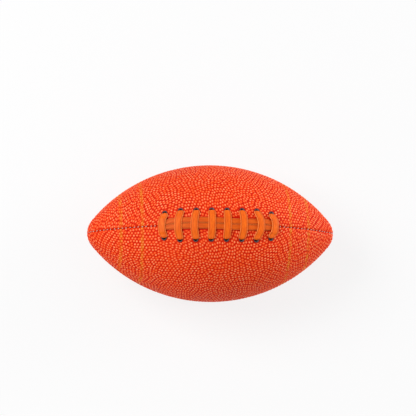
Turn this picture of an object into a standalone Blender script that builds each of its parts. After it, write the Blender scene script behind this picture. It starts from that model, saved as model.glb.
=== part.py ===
# American football: four pebbled panels over cloth linings and a rubber bladder, closed on top by a lace.
# The long axis lies along X, the lace is up, and the ball rests on its bottom seam at z = 0.
from math import acos, asin, atan2, copysign, cos, pi, radians, sin, sqrt

import bmesh
import bpy
from mathutils import Matrix, Vector

# Driving dimensions, in metres
LENGTH = 0.266
BELLY_DIAMETER = 0.1467
NOSE_RADIUS = 0.0215
GAP = 0.0003

COVER = 0.0022
LINING = 0.0008
FACING = 0.0010
GUARD = 0.0010
BLADDER_WALL = 0.0010

SEAM_EDGE_RADIUS = 0.0025
SEAM_ALLOWANCE = 0.0022
FULL_EDGE_FROM = 0.0065
TIP_OPENING_RADIUS = 0.0015
LINING_END_RADIUS = 0.0085
THREAD_RADIUS = 0.00035
THREAD_END_RADIUS = 0.0075
THREAD_CLEAR_OF_LACE = 0.0035

CROSSINGS = 8
CROSSING_PITCH = 0.0164
HOLE_HALF_SPREAD = 0.0155
END_HOLE_HALF_SPREAD = 0.0131
HOLE_SKEW = 0.0005
CROSSING_BOWS = (-0.0025, -0.0024, -0.0019, 0.0004, 0.0005, 0.0018, 0.0042, 0.0034)
LACE_WIDTH = 0.0080
LACE_FOOT_WIDTH = 0.0074
LACE_WIDTH_IN_HOLE = 0.0031
LACE_OFF_CENTRE = 0.0005
LACE_THICKNESS = 0.0013
LACE_BEND = 0.0015
LACE_TAIL = 0.0100
STRAND_WIDTH = 0.0060
STRAND_TUCK_WIDTH = 0.0040
STRAND_TAPER = 0.0070
STRAND_OFF_SEAM = 0.0012
STRAND_SWAY = 0.0008
STRAND_SWAY_LENGTH = 0.1070

EYELET_BORE = 0.0044
EYELET_WALL = 0.00025
EYELET_LIP = 0.0004
EYELET_LIP_THICKNESS = 0.0005

FACING_WIDTH = 0.0270
FACING_OVERRUN = 0.0142
FACING_SEAM_CLEARANCE = 0.0005
GUARD_WIDTH = 0.0400
GUARD_OVERRUN = 0.0172

VALVE_ANGLE = radians(120)
VALVE_STEM_RADIUS = 0.0032
VALVE_FLANGE_RADIUS = 0.0070
VALVE_FLANGE_THICKNESS = 0.0012
VALVE_RECESS = 0.0004
VALVE_CORE_RADIUS = 0.0016
NEEDLE_RADIUS = 0.0006
VALVE_CORE_LENGTH = 0.0060

# How finely the curved pieces are divided
BELLY_STEPS = 7
NOSE_STEPS = 3
QUARTER_STEPS = 6
HOLE_SIDES = 10
SHARP_FROM = radians(35)
STATION_CLEARANCE = radians(0.5)

# How the lace widens from an eyelet: shares at the three steps of its bend, then how late it is full
BEND_WIDENING = (0.08, 0.5, 0.88)
FOOT_FALLOFF = 6
BEND_STEPS = 3
MIDDLE_STEPS = 10

# The outline is one long arc that meets a small arc at each nose, with the same tangent there
HALF_LENGTH = LENGTH / 2
BELLY = BELLY_DIAMETER / 2
NOSE_X = HALF_LENGTH - NOSE_RADIUS
ARC_RADIUS = (NOSE_X**2 + BELLY**2 - NOSE_RADIUS**2) / (2 * (BELLY - NOSE_RADIUS))
ARC_DROP = ARC_RADIUS - BELLY
MEET_TILT = atan2(NOSE_X, ARC_DROP)
TIP_TILT = acos(TIP_OPENING_RADIUS / NOSE_RADIUS)

# The facings and the guard run on past the outermost holes
LACED_SPAN = (CROSSINGS - 1) * CROSSING_PITCH
FACING_HALF_LENGTH = LACED_SPAN / 2 + FACING_OVERRUN
GUARD_HALF_LENGTH = LACED_SPAN / 2 + GUARD_OVERRUN

# The layers lie on one another from the outside in
SAG_ROUND = BELLY * (1 - cos(pi / 4 / QUARTER_STEPS))
SAG_ALONG = ARC_RADIUS * (1 - cos(MEET_TILT / 2 / BELLY_STEPS))
FLAT_SAG = SAG_ROUND + SAG_ALONG
LINING_TOP = COVER + GAP
ALLOWANCE_DEPTH = LINING_TOP + LINING
FACING_TOP = ALLOWANCE_DEPTH + GAP
EYELET_CLINCH_TOP = FACING_TOP + FACING + FLAT_SAG + GAP
EYELET_BOTTOM = EYELET_CLINCH_TOP + EYELET_LIP_THICKNESS
INNER_RUN_DEPTH = EYELET_BOTTOM + GAP + LACE_THICKNESS / 2
GUARD_TOP = INNER_RUN_DEPTH + LACE_THICKNESS / 2 + GAP
BLADDER_DEPTH = ALLOWANCE_DEPTH + GAP
BLADDER_DEPTH_AT_LACE = GUARD_TOP + GUARD + 2 * GAP

EYELET_RADIUS = EYELET_BORE / 2 + EYELET_WALL
EYELET_LIP_TOP = GAP + EYELET_LIP_THICKNESS
STRAND_HEIGHT = GAP + LACE_THICKNESS / 2
OVER_STRAND_HEIGHT = STRAND_HEIGHT + LACE_THICKNESS + GAP
OVER_EYELET_HEIGHT = EYELET_LIP_TOP + GAP + LACE_THICKNESS / 2

QUARTERS = {"top_back": 0.0, "bottom_back": pi / 2, "bottom_front": pi, "top_front": 3 * pi / 2}


# Where a point of the ball lies
def profile(tilt):
    """Outer outline where its normal leans by tilt from upright: (x, radius)."""
    if abs(tilt) <= MEET_TILT:
        return ARC_RADIUS * sin(tilt), ARC_RADIUS * cos(tilt) - ARC_DROP
    side = 1 if tilt > 0 else -1
    return side * NOSE_X + NOSE_RADIUS * sin(tilt), NOSE_RADIUS * cos(tilt)


def tilt_at(x):
    """Lean of the outline's normal at x."""
    if abs(x) <= ARC_RADIUS * sin(MEET_TILT):
        return asin(x / ARC_RADIUS)
    side = 1 if x > 0 else -1
    return asin((x - side * NOSE_X) / NOSE_RADIUS)


def tilt_at_radius(radius):
    """Lean of the nose's normal where the outline has this radius."""
    return acos(radius / NOSE_RADIUS)


def place(tilt, angle, depth):
    """Point at a depth under the surface; angle turns from the top towards +Y."""
    x, radius = profile(tilt)
    radius -= depth * cos(tilt)
    return Vector((x - depth * sin(tilt), radius * sin(angle), BELLY + radius * cos(angle)))


def outward(tilt, angle):
    return Vector((sin(tilt), cos(tilt) * sin(angle), cos(tilt) * cos(angle)))


def standing_on(tilt, angle):
    """Placement whose local Z is the surface normal and whose origin lies on the surface."""
    normal = outward(tilt, angle)
    across = Vector((0, cos(angle), -sin(angle)))
    along = across.cross(normal)
    turn = Matrix((along, across, normal)).transposed().to_4x4()
    return Matrix.Translation(place(tilt, angle, 0)) @ turn


def stations(end_tilt):
    """Leans of the cross sections, from one end to the other."""
    belly = [MEET_TILT * i / BELLY_STEPS for i in range(BELLY_STEPS + 1)]
    nose = [MEET_TILT + (TIP_TILT - MEET_TILT) * i / NOSE_STEPS for i in range(1, NOSE_STEPS + 1)]
    inside = [t for t in belly + nose if t < end_tilt - STATION_CLEARANCE]
    half = inside + [end_tilt]
    return [-t for t in reversed(half[1:])] + half


def edge_share(tilt):
    """Seam edges narrow towards the tips, where the four panels come together."""
    return min(1.0, profile(tilt)[1] / FULL_EDGE_FROM)


def quarter_angles(tilt):
    """Angles of the lines that every layer of one quarter shares."""
    x, radius = profile(tilt)
    band = GAP / 2 + edge_share(tilt) * (SEAM_EDGE_RADIUS + GAP)
    first = asin(band / (radius - ALLOWANCE_DEPTH * cos(tilt)))
    return [first + (pi / 2 - 2 * first) * i / QUARTER_STEPS for i in range(1, QUARTER_STEPS)]


def beside_seam(tilt, start, offset, depth, far):
    """Point at an offset from the quarter's first or far seam plane."""
    radius = profile(tilt)[1] - depth * cos(tilt)
    turn = asin(offset / radius)
    return place(tilt, start + (pi / 2 - turn if far else turn), depth)


# Meshes
def add_object(name, bm, look):
    bmesh.ops.recalc_face_normals(bm, faces=bm.faces)
    mesh = bpy.data.meshes.new(name)
    bm.to_mesh(mesh)
    bm.free()
    mesh.shade_smooth()
    mesh.set_sharp_from_angle(angle=SHARP_FROM)
    obj = bpy.data.objects.new(name, mesh)
    bpy.context.scene.collection.objects.link(obj)
    obj.data.materials.append(make_material(name, look))
    return obj


def make_material(name, look):
    colour, roughness, metallic = look
    material = bpy.data.materials.new(name + "_material")
    material.use_nodes = True
    shader = material.node_tree.nodes["Principled BSDF"]
    shader.inputs["Base Color"].default_value = (*colour, 1.0)
    shader.inputs["Roughness"].default_value = roughness
    shader.inputs["Metallic"].default_value = metallic
    return material


LEATHER = ((0.80, 0.10, 0.03), 0.45, 0.0)
LACE_LEATHER = ((0.82, 0.19, 0.03), 0.5, 0.0)
CLOTH = ((0.70, 0.64, 0.52), 0.9, 0.0)
FACING_CLOTH = ((0.30, 0.05, 0.03), 0.8, 0.0)
BLACK_RUBBER = ((0.02, 0.02, 0.02), 0.5, 0.0)
BLADDER_RUBBER = ((0.05, 0.05, 0.055), 0.45, 0.0)
BLACK_LACQUER = ((0.03, 0.03, 0.035), 0.25, 0.9)
THREAD_WHITE = ((0.78, 0.74, 0.70), 0.6, 0.0)


def slab(outer, inner):
    """Closed solid between two grids of points that have the same rows and columns."""
    bm = bmesh.new()
    top = [[bm.verts.new(p) for p in row] for row in outer]
    low = [[bm.verts.new(p) for p in row] for row in inner]
    rows = len(top) - 1
    columns = len(top[0]) - 1
    for i in range(rows):
        for j in range(columns):
            bm.faces.new((top[i][j], top[i][j + 1], top[i + 1][j + 1], top[i + 1][j]))
            bm.faces.new((low[i][j], low[i + 1][j], low[i + 1][j + 1], low[i][j + 1]))
        for j, step in ((0, 1), (columns, -1)):
            side = (top[i][j], top[i + 1][j], low[i + 1][j], low[i][j])
            bm.faces.new(side[::step])
    for j in range(columns):
        for i, step in ((0, -1), (rows, 1)):
            side = (top[i][j], top[i][j + 1], low[i][j + 1], low[i][j])
            bm.faces.new(side[::step])
    return bm


def strip(spots, thickness):
    """Flat strip along (point, way its width points before it is squared to the path, width)."""
    bm = bmesh.new()
    points, sides, widths = zip(*spots)
    rings = []
    for i, point in enumerate(points):
        ahead = points[min(i + 1, len(points) - 1)] - points[max(i - 1, 0)]
        ahead.normalize()
        across = (sides[i] - sides[i].dot(ahead) * ahead).normalized() * widths[i] / 2
        up = ahead.cross(across).normalized() * thickness / 2
        corners = (across + up, across - up, -across - up, -across + up)
        rings.append([bm.verts.new(point + c) for c in corners])
    for before, after in zip(rings, rings[1:]):
        for j in range(4):
            k = (j + 1) % 4
            bm.faces.new((before[j], before[k], after[k], after[j]))
    bm.faces.new(rings[0][::-1])
    bm.faces.new(rings[-1])
    return bm


def turned(outline, sides, placement):
    """Ring turned about local Z from an outline of (radius, z) corners."""
    bm = bmesh.new()
    rings = []
    for i in range(sides):
        angle = 2 * pi * (i + 0.5) / sides
        ring = [placement @ Vector((r * cos(angle), r * sin(angle), z)) for r, z in outline]
        rings.append([bm.verts.new(p) for p in ring])
    corners = len(outline)
    for i in range(sides):
        here = rings[i]
        after = rings[(i + 1) % sides]
        for j in range(corners):
            k = (j + 1) % corners
            bm.faces.new((here[j], after[j], after[k], here[k]))
    return bm


# Cover and lining
def panel_rows(tilt, start):
    """Outer and inner chain of one panel's cross section, with both edges turned in."""
    share = edge_share(tilt)
    face = GAP / 2
    radius = share * SEAM_EDGE_RADIUS
    back = face + share * SEAM_ALLOWANCE
    band = face + share * (SEAM_EDGE_RADIUS + GAP)
    lean = sin(pi / 4)
    outer_edge = [
        (face, ALLOWANCE_DEPTH),
        (face, radius),
        (face + radius * (1 - lean), radius * (1 - lean)),
        (face + radius, 0.0),
    ]
    inner_edge = [
        (back, ALLOWANCE_DEPTH),
        (back, (ALLOWANCE_DEPTH + COVER) / 2),
        (back, COVER),
        (band, COVER),
    ]
    rows = []
    for edge, depth in ((outer_edge, 0.0), (inner_edge, COVER)):
        near = [beside_seam(tilt, start, u, d, False) for u, d in edge]
        middle = [place(tilt, start + a, depth) for a in quarter_angles(tilt)]
        far = [beside_seam(tilt, start, u, d, True) for u, d in reversed(edge)]
        rows.append(near + middle + far)
    return rows


def make_panel(quarter):
    rows = [panel_rows(t, QUARTERS[quarter]) for t in stations(TIP_TILT)]
    bm = slab([r[0] for r in rows], [r[1] for r in rows])
    return add_object("panel_" + quarter, bm, LEATHER)


def lining_row(tilt, start, depth):
    edge = GAP / 2 + edge_share(tilt) * SEAM_ALLOWANCE + GAP
    near = beside_seam(tilt, start, edge, depth, False)
    middle = [place(tilt, start + a, depth) for a in quarter_angles(tilt)]
    far = beside_seam(tilt, start, edge, depth, True)
    return [near] + middle + [far]


def make_lining(quarter):
    tilts = stations(tilt_at_radius(LINING_END_RADIUS))
    start = QUARTERS[quarter]
    outer = [lining_row(t, start, LINING_TOP) for t in tilts]
    inner = [lining_row(t, start, ALLOWANCE_DEPTH) for t in tilts]
    return add_object("lining_" + quarter, slab(outer, inner), CLOTH)


# Lace holes and what lines them
def hole_x(i, side=0):
    """The back row of holes stands a little ahead of the front row."""
    return (i - (CROSSINGS - 1) / 2) * CROSSING_PITCH + side * HOLE_SKEW


def hole_y(i):
    return END_HOLE_HALF_SPREAD if i in (0, CROSSINGS - 1) else HOLE_HALF_SPREAD


def lace_y(i):
    """The lace bears on the side of the eyelet that is nearer the seam."""
    return hole_y(i) - LACE_OFF_CENTRE


def crossing_bow(i):
    return CROSSING_BOWS[i % len(CROSSING_BOWS)]


def tuck_x(end):
    """Where the lengthwise strands go down, under the middle of the first and last crossing."""
    i = 0 if end < 0 else CROSSINGS - 1
    return hole_x(i) + crossing_bow(i)


def hole_placement(i, side):
    tilt = tilt_at(hole_x(i, side))
    return standing_on(tilt, side * asin(hole_y(i) / profile(tilt)[1]))


def clipped(values, low, high):
    return [low] + [v for v in values if low + 1e-4 < v < high - 1e-4] + [high]


def flat_depth(depth, angle, lines):
    """Depth that puts a point of a layer on the flat between two shared lines."""
    for a, b in zip(lines, lines[1:]):
        if a <= angle <= b:
            flat = cos((b - a) / 2) / cos(angle - (a + b) / 2)
            return depth + (BELLY - depth) * (1 - flat)
    return depth


def facing_row(tilt, side, depth):
    radius = profile(tilt)[1]
    near = asin(FACING_SEAM_CLEARANCE / radius)
    far = asin(FACING_WIDTH / radius)
    lines = [near] + quarter_angles(tilt)
    covered = sum(a < asin(FACING_WIDTH / BELLY) for a in quarter_angles(0.0))
    angles = lines[: covered + 1] + [far]
    depths = [depth] * (covered + 1) + [flat_depth(depth, far, lines)]
    return [place(tilt, side * a, d) for a, d in zip(angles, depths)]


def stations_within(half_length):
    end = tilt_at(half_length)
    return clipped(stations(TIP_TILT), -end, end)


def make_facing(name, side):
    tilts = stations_within(FACING_HALF_LENGTH)
    outer = [facing_row(t, side, FACING_TOP) for t in tilts]
    inner = [facing_row(t, side, FACING_TOP + FACING) for t in tilts]
    return add_object("lace_facing_" + name, slab(outer, inner), FACING_CLOTH)


def make_eyelet(name, i, side):
    bore = EYELET_BORE / 2
    lip = EYELET_RADIUS + EYELET_LIP
    outline = [
        (bore, EYELET_LIP_TOP),
        (bore, -EYELET_BOTTOM),
        (lip, -EYELET_BOTTOM),
        (lip, -EYELET_CLINCH_TOP),
        (EYELET_RADIUS, -EYELET_CLINCH_TOP),
        (EYELET_RADIUS, GAP),
        (lip, GAP),
        (lip, EYELET_LIP_TOP),
    ]
    bm = turned(outline, HOLE_SIDES, hole_placement(i, side))
    return add_object(f"eyelet_{name}_{i + 1}", bm, BLACK_LACQUER)


# Cutters
def cutter(name, bm):
    obj = add_object(name, bm, BLACK_RUBBER)
    obj.hide_render = True
    obj.display_type = "WIRE"
    return obj


def add_cylinder(bm, radius, low, high, placement):
    middle = placement @ Matrix.Translation((0, 0, (low + high) / 2))
    turn = Matrix.Rotation(pi / HOLE_SIDES, 4, "Z")
    bmesh.ops.create_cone(
        bm, cap_ends=True, segments=HOLE_SIDES, radius1=radius, radius2=radius,
        depth=high - low, matrix=middle @ turn,
    )


def lace_hole_cutter():
    """Sixteen round holes and the two slots that the strands' ends go down through."""
    bm = bmesh.new()
    reach = EYELET_CLINCH_TOP
    for i in range(CROSSINGS):
        for side in (-1, 1):
            add_cylinder(bm, EYELET_RADIUS + GAP, -reach, reach / 2, hole_placement(i, side))
    for end in (-1, 1):
        size = Matrix.Diagonal((
            LACE_THICKNESS + 4 * GAP,
            2 * (GAP / 2 + STRAND_TUCK_WIDTH + GAP),
            3 * reach,
            1,
        ))
        bmesh.ops.create_cube(bm, size=1, matrix=standing_on(tilt_at(tuck_x(end)), 0) @ size)
    return cutter("cut_lace_holes", bm)


def valve_cutter():
    bm = bmesh.new()
    reach = BLADDER_DEPTH + BLADDER_WALL + FLAT_SAG + GAP
    add_cylinder(bm, VALVE_STEM_RADIUS + GAP, -2 * reach, reach, standing_on(0, VALVE_ANGLE))
    return cutter("cut_valve_hole", bm)


def cut(obj, tool):
    modifier = obj.modifiers.new("holes", "BOOLEAN")
    modifier.operation = "DIFFERENCE"
    modifier.solver = "EXACT"
    modifier.object = tool


# Lace
def lace_spot(x, y, height, width):
    """Point of a lace, at x along the ball and y beside the top seam, its width lying along the ball."""
    tilt = tilt_at(x)
    angle = asin(y / profile(tilt)[1])
    across = Vector((0, cos(angle), -sin(angle)))
    return place(tilt, angle, -height), across.cross(outward(tilt, angle)), width


def strand_share(x):
    """How far the strand has narrowed towards the nearer tuck."""
    left = x - tuck_x(-1) - LACE_BEND
    right = tuck_x(1) - LACE_BEND - x
    return 1 - min(1.0, max(0.0, min(left, right) / STRAND_TAPER))


def strands_at(x):
    """The line between the strands: it lies a little to the back of the seam, and sways."""
    sway = STRAND_SWAY * sin(2 * pi * x / STRAND_SWAY_LENGTH)
    return (STRAND_OFF_SEAM - sway) * (1 - strand_share(x))


def crossing_height(y, spread, middle):
    """The lace climbs from the eyelets over the two strands, whose middle line it crosses there."""
    flat = STRAND_WIDTH + 2 * GAP
    foot = spread - 2 * LACE_BEND - copysign(middle, y)
    t = min(1.0, max(0.0, (abs(y - middle) - flat) / (foot - flat)))
    ease = t * t * (3 - 2 * t)
    return OVER_STRAND_HEIGHT + (OVER_EYELET_HEIGHT - OVER_STRAND_HEIGHT) * ease


def crossing_points(i):
    """Outer run from the back hole to the front hole."""
    spread = lace_y(i)
    foot = spread - LACE_BEND
    strands = strands_at(hole_x(i) + crossing_bow(i))
    side_steps = []
    for step, share in enumerate(BEND_WIDENING, 1):
        turn = pi / 2 * step / BEND_STEPS
        inset = LACE_BEND * (1 - cos(turn))
        height = OVER_EYELET_HEIGHT - LACE_BEND * (1 - sin(turn))
        width = LACE_WIDTH_IN_HOLE + (LACE_FOOT_WIDTH - LACE_WIDTH_IN_HOLE) * share
        side_steps.append((spread - inset, height, width))
    middle = []
    for step in range(1, MIDDLE_STEPS):
        y = foot * (1 - 2 * step / MIDDLE_STEPS)
        width = LACE_WIDTH - (LACE_WIDTH - LACE_FOOT_WIDTH) * abs(y / foot) ** FOOT_FALLOFF
        middle.append((y, crossing_height(y, spread, strands), width))
    mirrored = [(-y, height, width) for y, height, width in reversed(side_steps)]
    run = []
    for y, height, width in side_steps + middle + mirrored:
        bowed = crossing_bow(i) * (1 - min(1.0, abs(y) / foot) ** 2)
        run.append(lace_spot(hole_x(i, y / spread) + bowed, y, height, width))
    return run


def through_hole(i, side, down):
    """The lace inside an eyelet."""
    heights = [OVER_EYELET_HEIGHT - LACE_BEND, -INNER_RUN_DEPTH / 2, LACE_BEND - INNER_RUN_DEPTH]
    if not down:
        heights.reverse()
    y = side * lace_y(i)
    return [lace_spot(hole_x(i, side), y, h, LACE_WIDTH_IN_HOLE) for h in heights]


def inner_bend(x, y, way, leaving):
    """The lace turns from a hole into its run on the inside, or back."""
    turns = [pi / 2 * step / BEND_STEPS for step in range(1, BEND_STEPS + 1)]
    bend = []
    for turn in turns if leaving else reversed(turns):
        inset = LACE_BEND * (1 - cos(turn)) * (1 if leaving else -1)
        height = LACE_BEND - INNER_RUN_DEPTH - LACE_BEND * sin(turn)
        spot = Vector((x, y)) + inset * way
        bend.append(lace_spot(spot.x, spot.y, height, LACE_WIDTH_IN_HOLE))
    return bend


def inner_run(i):
    """Slanted run on the inside, from the front hole of crossing i to the back hole of the next."""
    start = Vector((hole_x(i, -1), -lace_y(max(i, 0))))
    end = Vector((hole_x(i + 1, 1), lace_y(min(i + 1, CROSSINGS - 1))))
    way = (end - start).normalized()
    first = start + way * LACE_BEND
    last = end - way * LACE_BEND
    points = []
    if i >= 0:
        points += inner_bend(start.x, start.y, way, True)
    else:
        first = last - way * LACE_TAIL
        points.append(lace_spot(*first, -INNER_RUN_DEPTH, LACE_WIDTH_IN_HOLE))
    if i + 1 == CROSSINGS:
        last = first + way * LACE_TAIL
    for step in range(1, 5):
        spot = first.lerp(last, step / 5)
        points.append(lace_spot(*spot, -INNER_RUN_DEPTH, LACE_WIDTH_IN_HOLE))
    if i + 1 < CROSSINGS:
        points += inner_bend(end.x, end.y, way, False)
    else:
        points.append(lace_spot(*last, -INNER_RUN_DEPTH, LACE_WIDTH_IN_HOLE))
    return points


def make_cross_lace():
    """One strip: over the ball at each crossing, and slanting under the facings to the next."""
    path = inner_run(-1)
    for i in range(CROSSINGS):
        path += through_hole(i, 1, False)
        path += crossing_points(i)
        path += through_hole(i, -1, True)
        path += inner_run(i)
    return add_object("lace_crossing", strip(path, LACE_THICKNESS), LACE_LEATHER)


def strand_spot(x, height, side):
    width = STRAND_WIDTH + (STRAND_TUCK_WIDTH - STRAND_WIDTH) * strand_share(x)
    tilt = tilt_at(x)
    radius = profile(tilt)[1] + height * cos(tilt)
    angle = side * asin((GAP / 2 + width / 2) / radius) + asin(strands_at(x) / radius)
    return place(tilt, angle, -height), Vector((0, cos(angle), -sin(angle))), width


def strand_end(end, side):
    """End of a strand, from its tip inside the ball to where it lies flat."""
    x = tuck_x(end)
    spots = []
    for depth in (EYELET_BOTTOM, COVER + LINING):
        spots.append(strand_spot(x, -depth, side))
    for step in range(0, BEND_STEPS + 1):
        turn = pi / 2 * step / BEND_STEPS
        inset = LACE_BEND * (1 - cos(turn))
        spots.append(strand_spot(x - end * inset, STRAND_HEIGHT - LACE_BEND * (1 - sin(turn)), side))
    return spots


def make_strand(name, side):
    left = tuck_x(-1) + LACE_BEND + STRAND_TAPER
    right = tuck_x(1) - LACE_BEND - STRAND_TAPER
    steps = 10
    spots = strand_end(-1, side)
    for step in range(steps + 1):
        spots.append(strand_spot(left + (right - left) * step / steps, STRAND_HEIGHT, side))
    spots += reversed(strand_end(1, side))
    return add_object("lace_strand_" + name, strip(spots, LACE_THICKNESS), LACE_LEATHER)


# Bladder, its guard and its valve
def guard_row(tilt, depth):
    edge = asin(GUARD_WIDTH / 2 / profile(tilt)[1])
    return [place(tilt, edge * share, depth) for share in (-1.0, -0.5, 0.0, 0.5, 1.0)]


def make_guard():
    tilts = stations_within(GUARD_HALF_LENGTH)
    outer = [guard_row(t, GUARD_TOP) for t in tilts]
    inner = [guard_row(t, GUARD_TOP + GUARD) for t in tilts]
    return add_object("bladder_guard", slab(outer, inner), BLACK_RUBBER)


def falloff(distance, reach):
    """One out to the reach, then down to nothing over the same width as one flat."""
    flat = BELLY * pi / 2 / QUARTER_STEPS
    t = min(1.0, max(0.0, (distance - reach - flat) / flat))
    return 1 - t * t * (3 - 2 * t)


def bladder_depth(tilt, angle):
    """The guard and the lace press the bladder in under the top seam."""
    x, radius = profile(tilt)
    side = radius * abs(sin(angle)) if cos(angle) > 0 else BELLY
    press = falloff(abs(x), GUARD_HALF_LENGTH) * falloff(side, GUARD_WIDTH / 2)
    return BLADDER_DEPTH + (BLADDER_DEPTH_AT_LACE - BLADDER_DEPTH) * press


def bladder_ring(tilt, extra):
    angles = []
    for start in QUARTERS.values():
        angles += [start] + [start + a for a in quarter_angles(tilt)]
    return [place(tilt, a, bladder_depth(tilt, a) + extra) for a in angles]


def bladder_skin(bm, extra):
    """One closed skin of the bladder, with a point at each tip."""
    tilts = stations(TIP_TILT)
    rings = [[bm.verts.new(p) for p in bladder_ring(t, extra)] for t in tilts]
    count = len(rings[0])
    tips = [bm.verts.new(place(side * pi / 2, 0, BLADDER_DEPTH + extra)) for side in (-1, 1)]
    for j in range(count):
        k = (j + 1) % count
        for before, after in zip(rings, rings[1:]):
            bm.faces.new((before[j], before[k], after[k], after[j]))
        bm.faces.new((tips[0], rings[0][k], rings[0][j]))
        bm.faces.new((tips[1], rings[-1][j], rings[-1][k]))


def make_bladder():
    outer = bmesh.new()
    bladder_skin(outer, 0.0)
    inner = bmesh.new()
    bladder_skin(inner, BLADDER_WALL)
    bladder = add_object("bladder", outer, BLADDER_RUBBER)
    cut(bladder, cutter("cut_bladder_hollow", inner))
    return bladder


def make_valve():
    """Moulded rubber stem with a flange that is bonded inside the bladder wall, and its plug."""
    placement = standing_on(0, VALVE_ANGLE)
    inside = BLADDER_DEPTH + BLADDER_WALL + GAP
    slope = FLAT_SAG + GAP
    passage = VALVE_CORE_RADIUS + GAP
    body = [
        (passage, -VALVE_RECESS),
        (passage, -inside - slope - VALVE_FLANGE_THICKNESS),
        (VALVE_FLANGE_RADIUS, -inside - 2 * slope - VALVE_FLANGE_THICKNESS),
        (VALVE_FLANGE_RADIUS, -inside - 2 * slope),
        (VALVE_STEM_RADIUS, -inside - GAP),
        (VALVE_STEM_RADIUS, -VALVE_RECESS),
    ]
    add_object("valve_body", turned(body, HOLE_SIDES, placement), BLACK_RUBBER)
    top = -VALVE_RECESS - GAP
    core = [
        (NEEDLE_RADIUS, top),
        (NEEDLE_RADIUS, top - VALVE_CORE_LENGTH),
        (VALVE_CORE_RADIUS, top - VALVE_CORE_LENGTH),
        (VALVE_CORE_RADIUS, top),
    ]
    add_object("valve_core", turned(core, HOLE_SIDES, placement), BLACK_RUBBER)


# Seam threads
def thread_depth():
    """The thread lies in the groove and rests against both rounded panel edges."""
    reach = SEAM_EDGE_RADIUS + THREAD_RADIUS + GAP
    return SEAM_EDGE_RADIUS - sqrt(reach**2 - (SEAM_EDGE_RADIUS + GAP / 2) ** 2)


def make_thread(name, angle, low, high):
    curve = bpy.data.curves.new("seam_thread_" + name, "CURVE")
    curve.dimensions = "3D"
    curve.bevel_depth = THREAD_RADIUS
    curve.bevel_resolution = 0
    curve.use_fill_caps = True
    tilts = clipped(stations(TIP_TILT), low, high)
    spline = curve.splines.new("POLY")
    spline.points.add(len(tilts) - 1)
    for point, tilt in zip(spline.points, tilts):
        point.co = (*place(tilt, angle, thread_depth()), 1.0)
    obj = bpy.data.objects.new("seam_thread_" + name, curve)
    bpy.context.scene.collection.objects.link(obj)
    curve.materials.append(make_material(obj.name, THREAD_WHITE))


def make_threads():
    end = tilt_at_radius(THREAD_END_RADIUS)
    left = tilt_at(tuck_x(-1) - LACE_WIDTH / 2 - THREAD_CLEAR_OF_LACE)
    right = tilt_at(tuck_x(1) + LACE_WIDTH / 2 + THREAD_CLEAR_OF_LACE)
    make_thread("top_left", 0.0, -end, left)
    make_thread("top_right", 0.0, right, end)
    make_thread("back", pi / 2, -end, end)
    make_thread("bottom", pi, -end, end)
    make_thread("front", -pi / 2, -end, end)


# The ball
for old in list(bpy.data.objects):
    bpy.data.objects.remove(old, do_unlink=True)

lace_holes = lace_hole_cutter()
valve_hole = valve_cutter()
for quarter_name in QUARTERS:
    for layer in (make_panel(quarter_name), make_lining(quarter_name)):
        if quarter_name.startswith("top"):
            cut(layer, lace_holes)
        if quarter_name == "bottom_back":
            cut(layer, valve_hole)
for side_name, side_sign in (("back", 1), ("front", -1)):
    cut(make_facing(side_name, side_sign), lace_holes)
    make_strand(side_name, side_sign)
    for hole in range(CROSSINGS):
        make_eyelet(side_name, hole, side_sign)
make_cross_lace()
make_threads()
make_guard()
cut(make_bladder(), valve_hole)
make_valve()
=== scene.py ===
# American football: the looks of a pebbled four-panel ball with a wide strap lace and black eyelets.
from math import acos, asin, atan2, cos, pi, radians, sin, sqrt

import bmesh
import bpy
import numpy as np
from mathutils import Matrix, Vector
from mathutils.kdtree import KDTree


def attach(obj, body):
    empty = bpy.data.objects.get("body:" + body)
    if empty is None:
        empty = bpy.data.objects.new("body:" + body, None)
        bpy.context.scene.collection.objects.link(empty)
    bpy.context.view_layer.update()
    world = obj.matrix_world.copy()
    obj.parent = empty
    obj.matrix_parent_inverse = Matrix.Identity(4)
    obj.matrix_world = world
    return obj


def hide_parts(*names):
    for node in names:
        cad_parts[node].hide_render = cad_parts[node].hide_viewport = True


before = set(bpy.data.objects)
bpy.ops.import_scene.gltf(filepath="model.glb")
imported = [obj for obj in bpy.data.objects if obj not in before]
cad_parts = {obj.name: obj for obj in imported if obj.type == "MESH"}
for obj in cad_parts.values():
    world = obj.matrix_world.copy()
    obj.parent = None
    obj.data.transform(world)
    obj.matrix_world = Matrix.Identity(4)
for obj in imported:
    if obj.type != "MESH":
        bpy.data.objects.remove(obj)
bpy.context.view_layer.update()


# Bladder
# A blown butyl rubber bag that holds the air. It is moulded in one piece, lies against the linings,
# and is never seen unless the lace is undone.

def linear(code):
    """Linear colour of an sRGB hex value."""
    parts = [int(code[i:i + 2], 16) / 255 for i in (1, 3, 5)]
    return [p / 12.92 if p <= 0.04045 else ((p + 0.055) / 1.055) ** 2.4 for p in parts] + [1.0]


def add(tree, kind, inputs, **settings):
    """Adds a node with its settings and links. An input is a value, an output, or a node that
    gives its result."""
    made = tree.nodes.new(kind)
    for name, value in settings.items():
        setattr(made, name, value)
    for name, value in inputs.items():
        if isinstance(value, bpy.types.Node):
            value = next(output for output in value.outputs if output.enabled)
        if isinstance(value, bpy.types.NodeSocket):
            tree.links.new(value, made.inputs[name])
        else:
            made.inputs[name].default_value = value
    return made


def new_material(name):
    material = bpy.data.materials.new(name)
    material.use_nodes = True
    material.node_tree.nodes.clear()
    return material, material.node_tree


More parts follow.
